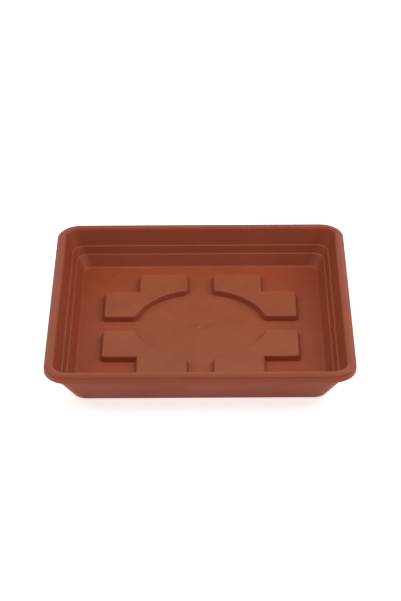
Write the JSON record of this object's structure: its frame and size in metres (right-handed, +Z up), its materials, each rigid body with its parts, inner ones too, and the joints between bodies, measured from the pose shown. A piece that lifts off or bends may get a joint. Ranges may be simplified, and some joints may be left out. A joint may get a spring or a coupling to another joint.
{
  "type": "plant saucer",
  "caption": "Square moulded plastic plant saucer with a rolled lip, stepped sloping walls and raised pads that hold a pot clear of drained water.",
  "frame": {"origin": "on the table, under the middle of the floor", "axes": "+Z up through the open side; +X and +Y square to two neighbouring walls"},
  "size_m": [0.3, 0.3, 0.0425],
  "materials": {
    "terracotta_plastic": "moulded polypropylene, satin, fired-clay red-brown"
  },
  "bodies": {
    "root": {"saucer_tray": "terracotta_plastic"}
  },
  "joints": []
}
